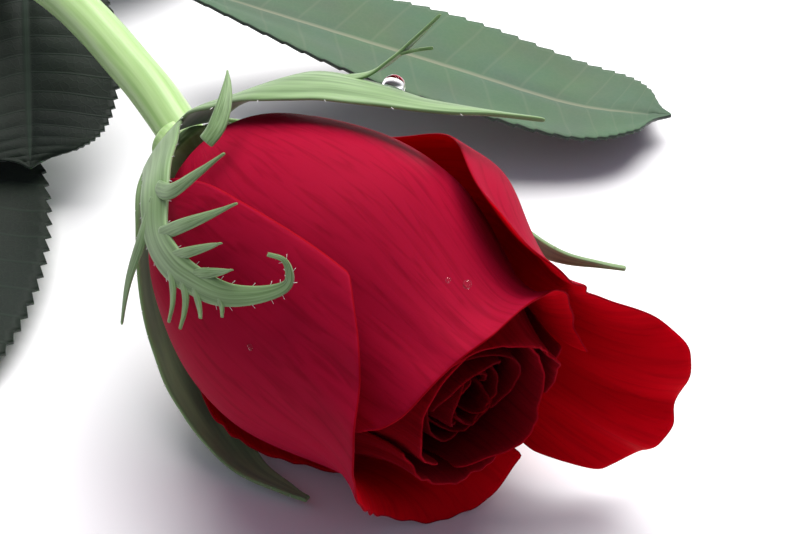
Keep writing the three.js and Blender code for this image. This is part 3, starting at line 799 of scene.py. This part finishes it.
def margin_hairs(model, points, count):
    """Copies of the hair along both edges of a blade."""
    hairs = []
    rows = len(points[0]) - 1
    for edge, inner in ((points[0], points[1]), (points[-1], points[-2])):
        for k in range(count):
            j = int(rows * (HAIRS_START + HAIRS_REACH * k / count))
            out = (edge[j] - inner[j]).normalized()
            lean = (edge[min(j + 1, rows)] - edge[j]).normalized()
            direction = (out + lean * (0.5 + 0.4 * math.sin(5 * k))).normalized()
            place = stand(edge[j] - out * HAIR_SUNK, direction.orthogonal().normalized(), direction)
            hairs.append(copied_piece(model, place))
    return hairs


class GreenSettings(bpy.types.PropertyGroup):
    """Colours of the calyx, stem and leaves."""

    sepal: colour("Sepal", "Outside of a sepal", 0x7E9C68)
    sepal_dark: colour("Sepal streaks", "Its streaks", 0x55743F)
    sepal_inside: colour("Sepal inside", "Downy inside", 0x5E7A50)
    stem: colour("Stem", "Skin of the stem", 0xA8C688)
    stem_dark: colour("Stem streaks", "Its streaks", 0x89AE64)
    prickle: colour("Prickle", "Prickles", 0x9C5A3C)
    # Leaf above: the upper face's own dark green, darkened further as painted shade.
    leaf_top: colour("Leaf above", "Upper face", 0x141F16)
    leaf_top_vein: colour("Veins above", "Veins on it", 0x223427)
    leaf_below: colour("Leaf below", "Lower face", 0x4E684F)
    leaf_below_vein: colour("Veins below", "Veins on it", 0x868672)


class ROSE_OT_sepals(bpy.types.Operator):
    """Makes the five sepals, with their lobes and hairs"""

    bl_idname = "rose.sepals"
    bl_label = "Sepals"

    def execute(self, context):
        greens = context.scene.rose_greens
        outside = green_finish(
            "sepal, outside", greens.sepal, greens.sepal_dark,
            grain=(9, 3, 1), roughness=0.5, relief=0.12, sheen=0.2,
        )
        inside = green_finish(
            "sepal, downy inside", greens.sepal_inside, greens.sepal,
            grain=(5, 3, 1), roughness=0.75, relief=0.08, sheen=0.5,
        )
        hair = hair_model()
        for sepal in SEPALS:
            name = sepal["name"] + "_look"
            path = sepal_path(sepal["azimuth"], sepal["places"])
            width = sepal_width(sepal)
            points = blade_points(
                path, away_from_axis, width, *SEPAL_GRID, roll=sepal.get("roll", 0), cup=-0.12
            )
            parts = [grid_piece(name, points)]
            hairs = margin_hairs(hair, points, sepal["hairs"])
            for k, (widest, places) in enumerate(sepal["lobes"]):
                path, width = off_belly(places), lobe_width(widest)
                lobe = blade_points(path, away_from_axis, width, *LOBE_GRID, cup=-0.2)
                parts.append(grid_piece(f"{name}_lobe_{k}", lobe))
            for part in parts:
                thickness = SEPAL_THICKNESS if part is parts[0] else LOBE_THICKNESS
                give_thickness(part, thickness, 1, [outside, inside, outside])
            piece = join(parts + hairs)
            dress(piece, sepal["name"])
        bpy.data.objects.remove(hair)
        return {"FINISHED"}


# ---- receptacle and stem ------------------------------------------------

# The cup below the petals, height and radius: it swells out of the stem and spreads into a disc.
CUP_PROFILE = [
    (-5.2, 0), (-5.1, 2.9), (-4.0, 3.25), (-2.6, 3.7), (-1.0, 4.6),
    (0.6, 5.6), (2.2, 7.0), (3.1, 6.6), (3.3, 0),
]
CUP_STEPS = 40
CUP_SIDES = 48


class ROSE_OT_receptacle(bpy.types.Operator):
    """Makes the cup that the petals and sepals grow from"""

    bl_idname = "rose.receptacle"
    bl_label = "Receptacle"

    def execute(self, context):
        greens = context.scene.rose_greens
        skin = green_finish(
            "calyx cup", greens.stem, greens.stem_dark, grain=(22, 2, 1), roughness=0.42, relief=0.1
        )
        outline = [along_rows(CUP_PROFILE, j / CUP_STEPS) for j in range(CUP_STEPS + 1)]

        def column(angle):
            return [bud_place(height, math.degrees(angle), radius) for height, radius in outline]

        piece = round_piece("receptacle_look", columns_round(CUP_SIDES, column))
        piece.data.materials.append(skin)
        dress(piece, "receptacle")
        return {"FINISHED"}


STEM_RADIUS = 3.1
CUT_END_SHARE = 0.9
NODE_SWELLING = 0.7
NODE_REACH = 4
LEAF_A_NODE = 0.47
LEAF_B_NODE = 0.62
STEM_STEPS = 220
STEM_RINGS = 200
STEM_SIDES = 40
RIDGES = 5
RIDGE_HEIGHT = 0.05
BUD_HEIGHT = 26  # of the bud's base above the surface
STEM_START = 2.7 / 186  # how far below the bud's base it starts, as a share of its length
# Places along the stem from the bud's base: share of the stem's length, sideways, height.
STEM_SHAPE = [
    (-STEM_START, 1.2, 0.4),
    (-0.1, 4.4, 1.6),
    (-0.24, 7.6, 1.4),
    (-0.46, 9.8, -0.28 * BUD_HEIGHT),
    (-0.72, 11.5, -0.6 * BUD_HEIGHT),
    (-1.0, 13, STEM_RADIUS * CUT_END_SHARE - BUD_HEIGHT),
]
STEM_PATH = [BUD_BASE + Vector((share * STEM_LENGTH, y, z)) for share, y, z in STEM_SHAPE]
STEM_PLACES, STEM_TANGENTS = smooth_path(STEM_PATH, STEM_STEPS)
STEM_REACH = [0.0]
for here, there in zip(STEM_PLACES, STEM_PLACES[1:]):
    STEM_REACH.append(STEM_REACH[-1] + (there - here).length)


def on_stem(share):
    """The stem's middle and direction at a share of its length from the bud."""
    wanted = share * STEM_REACH[-1]
    j = max(1, next(k for k, reach in enumerate(STEM_REACH) if reach >= wanted - 1e-9))
    f = (wanted - STEM_REACH[j - 1]) / (STEM_REACH[j] - STEM_REACH[j - 1])
    return STEM_PLACES[j - 1].lerp(STEM_PLACES[j], f), STEM_TANGENTS[j]


def stem_radius(share):
    swelling = sum(
        NODE_SWELLING * math.exp(-(((share - at) * STEM_LENGTH / NODE_REACH) ** 2))
        for at in (LEAF_A_NODE, LEAF_B_NODE)
    )
    return STEM_RADIUS * (1 + (CUT_END_SHARE - 1) * share) + swelling


def limb_points(places, tangents, radius, sides):
    """Places of a round limb about a line, with its radius given by share of the way and angle.

    Each column starts and ends on the line, so the limb's ends are closed.
    """
    last = len(places) - 1
    sideways = [tangent.cross(Vector((0, 0, 1))).normalized() for tangent in tangents]
    upwards = [side.cross(tangent).normalized() for side, tangent in zip(sideways, tangents)]

    def column(angle):
        made = [places[0]]
        for j, (centre, side, top) in enumerate(zip(places, sideways, upwards)):
            out = side * math.cos(angle) + top * math.sin(angle)
            made.append(centre + out * radius(j / last, angle))
        return [*made, places[-1]]

    return columns_round(sides, column)


PRICKLES = [(0.38, 100), (0.54, 250), (0.68, 70), (0.77, 200), (0.86, 20), (0.93, 150)]
PRICKLE_LENGTH = 5
PRICKLE_HALF_FOOT = 2.6  # along the stem
PRICKLE_HALF_WIDTH = 1.05
PRICKLE_HOOK = 2.4  # how far its tip is bent down the stem
PRICKLE_SUNK = 0.5
PRICKLE_SIDES = 16
PRICKLE_STEPS = 8


def prickle_model():
    """The flat hooked prickle that every prickle is a copy of: +Z out of the stem, +X down it."""

    def column(angle):
        out = Vector((math.cos(angle) * PRICKLE_HALF_FOOT, -math.sin(angle) * PRICKLE_HALF_WIDTH, 0))
        places = [Vector((0, 0, 0))]
        for k in range(PRICKLE_STEPS + 1):
            rise = k / PRICKLE_STEPS
            middle = Vector((PRICKLE_HOOK * rise**1.8, 0, rise * PRICKLE_LENGTH))
            places.append(middle + out * (1 - rise) ** 1.25)
        return places

    return round_piece("prickle", columns_round(PRICKLE_SIDES, column))


def prickle_place(share, turn):
    """Where a prickle stands on the stem, as a matrix in metres."""
    centre, tangent = on_stem(share)
    side = tangent.cross(Vector((0, 0, 1))).normalized()
    out = Quaternion(tangent, math.radians(turn)) @ side
    return stand(centre + out * (stem_radius(share) - PRICKLE_SUNK), tangent, out)


class ROSE_OT_stem(bpy.types.Operator):
    """Makes the stem with its prickles"""

    bl_idname = "rose.stem"
    bl_label = "Stem"

    def execute(self, context):
        greens = context.scene.rose_greens
        skin = green_finish(
            "rose stem", greens.stem, greens.stem_dark, grain=(16, 5, 1), roughness=0.36, relief=0.1
        )
        thorn = green_finish(
            "rose prickle", greens.prickle, greens.stem_dark,
            grain=(2, 2, 1), roughness=0.35, relief=0.05,
        )
        places, tangents = zip(*(on_stem(k / STEM_RINGS) for k in range(STEM_RINGS + 1)))

        def radius(share, angle):
            ridge = RIDGE_HEIGHT * math.sin(RIDGES * angle + 6 * share)
            return stem_radius(share) * (1 + 0.02 * noise.noise(Vector((share * 30, angle, 1)))) + ridge

        shaft = round_piece("stem_look", limb_points(places, tangents, radius, STEM_SIDES))
        shaft.data.materials.append(skin)
        shaft.data.materials.append(thorn)
        prickle = prickle_model()
        prickle.data.materials.append(thorn)
        piece = join([shaft, *(copied_piece(prickle, prickle_place(*place)) for place in PRICKLES)])
        dress(piece, "stem")
        bpy.data.objects.remove(prickle)
        return {"FINISHED"}


# ---- leaves -------------------------------------------------------------

LEAFLET_THICKNESS = 0.5
LEAFLET_GRID = (24, 170)
LEAFLET_SWEEP = 0.28  # how far its side veins lean forward, as a share of the way out
PLEAT_HEIGHT = 0.2  # between two side veins
CREASE_DEPTH = 0.4  # along the midrib
WAVER = 0.9  # how far its edges rise and fall
STALK_STEPS = 60
STALK_SIDES = 20
STALK_SUNK = 0.6  # depth of its foot in the stem
SIDE_STANDOFF = 0.6  # from the stalk's middle to a side leaflet's base
END_GAP = 0.2
TOOTH_DEPTH = 0.06  # of a leaflet's half width
TIP_DRAWN_OUT = 0.45  # how much narrower its point is than an egg's end
STALK_RADIUS = 1.1
LEAFLET_LENGTH = 78
LEAFLET_HALF_WIDTH = 16


def leaflet_width(widest, fullness):
    """Half width along a leaflet, egg shaped, with a saw edge."""

    def width(t, u):
        body = widest * max(0.0, math.sin(math.pi * t ** fullness[0])) ** fullness[1]
        body *= 1 - TIP_DRAWN_OUT * smoothstep(t, 0.84, 0.97)
        tooth = (t * SIDE_VEINS * 2) % 1
        cut = TOOTH_DEPTH * (1 - tooth) * smoothstep(abs(u), 0.72, 1.0)
        return max(0.1, body * (1 - cut))

    return width


def leaflet_points(base, leaflet):
    """Places of a leaflet, from its base, by its heading in plan, its length and its tip's height."""
    heading = math.radians(leaflet["heading"])
    direction = Vector((math.cos(heading), math.sin(heading), 0))
    length = leaflet["length"]
    tip = leaflet.get("tip", 0)
    path = []
    for share in (0, 0.2, 0.4, 0.6, 0.8, 0.93, 1):
        point = base + direction * share * length
        point.z = base.z + share * (leaflet["tip_height"] - base.z) + tip * smoothstep(share, 0.85, 1)
        path.append(point)

    def relief(t, u):
        out = abs(u)
        ribs = abs(math.sin(math.pi * SIDE_VEINS * t))
        pleat = PLEAT_HEIGHT * ribs * (1 - out) * smoothstep(out, 0, 0.2)
        crease = CREASE_DEPTH * math.exp(-((u / 0.07) ** 2))
        waver = noise.noise(Vector((t * 4, u * 1.5, leaflet["heading"])))
        waver *= WAVER * smoothstep(out, 0, 0.8)
        fade = smoothstep(t, 0, 0.08) * (1 - smoothstep(t, 0.9, 1))
        return (pleat - crease + waver) * fade

    width = leaflet_width(leaflet["width"], leaflet.get("fullness", (0.85, 0.8)))
    return blade_points(
        path, lambda point: Vector((0, 0, 1)), width, *LEAFLET_GRID, relief=relief,
        roll=leaflet.get("roll", 0), fold=leaflet.get("fold", 6), sweep=LEAFLET_SWEEP,
    )


LEAVES = [
    {"name": "leaf_a", "node": LEAF_A_NODE, "turned_over": True,
     "route": [(7, 7, 4), (20, 10.5, 4), (39, 18, 0)],
     "end": {"heading": 38.4, "length": 1.03 * LEAFLET_LENGTH, "width": LEAFLET_HALF_WIDTH,
             "tip_height": 0.5, "roll": -12, "fold": 4, "fullness": (0.87, 0.8), "tip": 3.5},
     "sides": [
         {"label": "near", "share": 0.62, "heading": -34, "length": 0.56 * LEAFLET_LENGTH,
          "width": 0.9 * LEAFLET_HALF_WIDTH, "tip_height": 7, "roll": 4, "dark": True},
         {"label": "far", "share": 0.5, "heading": 96, "length": 0.66 * LEAFLET_LENGTH,
          "width": 0.8 * LEAFLET_HALF_WIDTH, "tip_height": 0.8, "roll": 6},
     ]},
    {"name": "leaf_b", "node": LEAF_B_NODE, "turned_over": False,
     "route": [(5, -6.5, -3), (24, -8, -7), (48, -7, -9.5)],
     "end": {"heading": -41, "length": LEAFLET_LENGTH, "width": 1.25 * LEAFLET_HALF_WIDTH,
             "tip_height": 0.5, "roll": 2, "fold": 4},
     "sides": [
         {"label": "near", "share": 0.6, "heading": -100, "length": 0.66 * LEAFLET_LENGTH,
          "width": 0.8 * LEAFLET_HALF_WIDTH, "tip_height": 0.5},
         {"label": "far", "share": 0.52, "heading": 100, "length": 0.6 * LEAFLET_LENGTH,
          "width": 0.76 * LEAFLET_HALF_WIDTH, "tip_height": 0.6},
     ]},
]


def stalk_radius(share, angle):
    """A stalk is round, and swollen where it leaves the stem."""
    return STALK_RADIUS * (1 + 1.2 * math.exp(-((share / 0.06) ** 2)))


class ROSE_OT_leaves(bpy.types.Operator):
    """Makes the two compound leaves with their stalks"""

    bl_idname = "rose.leaves"
    bl_label = "Leaves"

    def execute(self, context):
        greens = context.scene.rose_greens
        # The upper face's very dark green is its own dark green with painted shade on top; the edge's
        # darker streaks share it.
        above = leaf_finish(
            "rose leaf, upper face", greens.leaf_top, greens.leaf_top_vein, roughness=0.62, strength=0.3
        )
        below = leaf_finish(
            "rose leaf, lower face", greens.leaf_below, greens.leaf_below_vein,
            roughness=0.6, strength=0.1,
        )
        edge = green_finish(
            "rose leaf, edge", greens.leaf_top_vein, greens.leaf_top,
            grain=(2, 2, 1), roughness=0.5, relief=0.02,
        )
        stalk_skin = green_finish(
            "leaf stalk", greens.stem, greens.stem_dark, grain=(8, 4, 1), roughness=0.42, relief=0.05
        )
        for leaf in LEAVES:
            foot, tangent = on_stem(leaf["node"])
            first = Vector(leaf["route"][0])
            out = (first - tangent * first.dot(tangent)).normalized()
            start = foot + out * (stem_radius(leaf["node"]) - STALK_SUNK)
            path = [start] + [foot + Vector(step) for step in leaf["route"]]
            places, tangents = smooth_path(path, STALK_STEPS)
            points = limb_points(places, tangents, stalk_radius, STALK_SIDES)
            stalk = round_piece(leaf["name"] + "_stalk_look", points)
            stalk.data.materials.append(stalk_skin)
            dress(stalk, leaf["name"] + "_stalk")

            end = {**leaf["end"], "label": "end"}
            blades = [(end, places[-1] + tangents[-1] * END_GAP)]
            for side in leaf["sides"]:
                heading = math.radians(side["heading"])
                away = Vector((math.cos(heading), math.sin(heading), 0))
                spot = places[round(side["share"] * STALK_STEPS)]
                blades.append((side, spot + away * SIDE_STANDOFF))
            for leaflet, base in blades:
                node = f"{leaf['name']}_{leaflet['label']}_leaflet"
                points = leaflet_points(base, leaflet)
                # A leaflet marked dark takes the upper face's finish first, with its dark green and
                # painted shade, even on a leaf that is turned over.
                over = leaf["turned_over"] and not leaflet.get("dark")
                faces = [below, above] if over else [above, below]
                make_sheet(node, points, LEAFLET_THICKNESS, 0, [*faces, edge])
        return {"FINISHED"}


# ---- dew ----------------------------------------------------------------

# Drops on the petals: height, azimuth, distance out from the belly and radius.
DROPS = [
    (53.1, 86, -2.2, 0.55), (44.5, 128, -0.9, 0.5), (47.6, 142, -0.9, 0.6), (38.8, 161, -0.9, 0.5),
    (46.4, 139, -0.9, 0.3), (23.5, 54.6, 2.6, 1.5), (51.5, 92, -2.2, 0.35),
]


class ROSE_OT_dew(bpy.types.Operator):
    """Makes the drops of water on the petals"""

    bl_idname = "rose.dew"
    bl_label = "Dew"

    def execute(self, context):
        drops = []
        for height, azimuth, out, radius in DROPS:
            place = bud_place(height, azimuth, belly_radius_at(height) + out)
            deselect()
            bpy.ops.mesh.primitive_uv_sphere_add(
                segments=24, ring_count=12, radius=radius * MM, location=place * MM
            )
            bpy.ops.object.transform_apply(location=True, rotation=False, scale=False)
            drops.append(bpy.context.object)
        piece = join(drops)
        piece.name = "dew"
        piece.data.materials.append(water_finish())
        dress(piece)
        return {"FINISHED"}


# ---- stage --------------------------------------------------------------


class StageSettings(bpy.types.PropertyGroup):
    """Floor, light and camera."""

    azimuth: FloatProperty(
        name="View azimuth", description="Round the rose", default=math.radians(50), subtype="ANGLE"
    )
    elevation: FloatProperty(
        name="View elevation",
        description="Above the surface",
        default=math.radians(40),
        subtype="ANGLE",
    )
    distance: FloatProperty(
        name="View distance", description="From its target", default=0.32, unit="LENGTH"
    )
    lens: FloatProperty(name="Lens", description="Focal length in millimetres", default=115.2)
    floor: colour("Paper", "Colour of the floor", 0xF4F4F6)
    sky: colour("Fill", "Colour of the light all round", 0xE8E4FF)
    sky_strength: FloatProperty(name="Fill strength", description="Light all round", default=0.3)
    key_strength: FloatProperty(name="Key power", description="Main light, in watts", default=9.8)


VIEW_TARGET = Vector((36.6, 5.2, 2.0))  # from the bud's base
# The stage's own sizes are in metres.
LIGHT_PLACE = Vector((-0.22, 0.27, 0.54))  # from what the camera looks at
LIGHT_SIZE = 0.65
LIGHT_TINT = (1, 0.985, 0.96)
FLOOR_SIZE = 6
FLOOR_HEIGHT = -0.0003


def area_light(name, place, target, size, power, tint):
    deselect()
    bpy.ops.object.light_add(type="AREA", location=place)
    light = bpy.context.object
    light.name = name
    light.data.size = size
    light.data.energy = power
    light.data.color = tint
    light.rotation_mode = "QUATERNION"
    light.rotation_quaternion = (Vector(target) - Vector(place)).to_track_quat("-Z", "Y")


class ROSE_OT_stage(bpy.types.Operator):
    """Makes the floor, the light and the camera"""

    bl_idname = "rose.stage"
    bl_label = "Stage"

    def execute(self, context):
        stage = context.scene.rose_stage
        deselect()
        bpy.ops.mesh.primitive_plane_add(size=FLOOR_SIZE, location=(0, 0, FLOOR_HEIGHT))
        floor = context.object
        floor.name = "floor"
        bpy.ops.object.transform_apply(location=True, rotation=False, scale=False)
        floor.data.materials.append(floor_finish(stage.floor))

        world = bpy.data.worlds.new("studio")
        world.use_nodes = True
        background = world.node_tree.nodes["Background"]
        background.inputs["Color"].default_value = rgba(stage.sky)
        background.inputs["Strength"].default_value = stage.sky_strength
        context.scene.world = world

        target = (BUD_BASE + VIEW_TARGET) * MM
        place = target + LIGHT_PLACE
        area_light("softbox above", place, target, LIGHT_SIZE, stage.key_strength, LIGHT_TINT)

        deselect()
        bpy.ops.object.camera_add()
        camera = context.object
        camera.name = "camera"
        camera.data.lens = stage.lens
        back = Vector((
            math.sin(stage.azimuth) * math.cos(stage.elevation),
            -math.cos(stage.azimuth) * math.cos(stage.elevation),
            math.sin(stage.elevation),
        ))
        camera.location = target + back * stage.distance
        camera.rotation_mode = "QUATERNION"
        camera.rotation_quaternion = (-back).to_track_quat("-Z", "Y")
        camera.data.clip_start = 0.01
        context.scene.camera = camera
        context.scene.view_settings.view_transform = "Standard"
        return {"FINISHED"}


# ---- add-on -------------------------------------------------------------


class ROSE_PT_looks(bpy.types.Panel):
    """Lists the rose's pieces and their settings"""

    bl_idname = "ROSE_PT_looks"
    bl_label = "Cut Rose"
    bl_space_type = "VIEW_3D"
    bl_region_type = "UI"
    bl_category = "Rose"

    def draw(self, context):
        layout = self.layout
        for operator in STEPS:
            layout.operator(operator.bl_idname)
        scene = context.scene
        for settings in (scene.rose_petals, scene.rose_greens, scene.rose_stage):
            for key in settings.__annotations__:
                layout.prop(settings, key)


STEPS = (
    ROSE_OT_outer_petals,
    ROSE_OT_heart,
    ROSE_OT_receptacle,
    ROSE_OT_sepals,
    ROSE_OT_stem,
    ROSE_OT_leaves,
    ROSE_OT_dew,
    ROSE_OT_stage,
)
CLASSES = (PetalSettings, GreenSettings, StageSettings, *STEPS, ROSE_PT_looks)


def register():
    for made in CLASSES:
        bpy.utils.register_class(made)
    bpy.types.Scene.rose_petals = PointerProperty(type=PetalSettings)
    bpy.types.Scene.rose_greens = PointerProperty(type=GreenSettings)
    bpy.types.Scene.rose_stage = PointerProperty(type=StageSettings)


def unregister():
    del bpy.types.Scene.rose_stage
    del bpy.types.Scene.rose_greens
    del bpy.types.Scene.rose_petals
    for made in reversed(CLASSES):
        bpy.utils.unregister_class(made)


def main():
    register()
    bpy.ops.rose.outer_petals()
    bpy.ops.rose.heart()
    bpy.ops.rose.receptacle()
    bpy.ops.rose.sepals()
    bpy.ops.rose.stem()
    bpy.ops.rose.leaves()
    bpy.ops.rose.dew()
    bpy.ops.rose.stage()


if __name__ == "__main__":
    main()
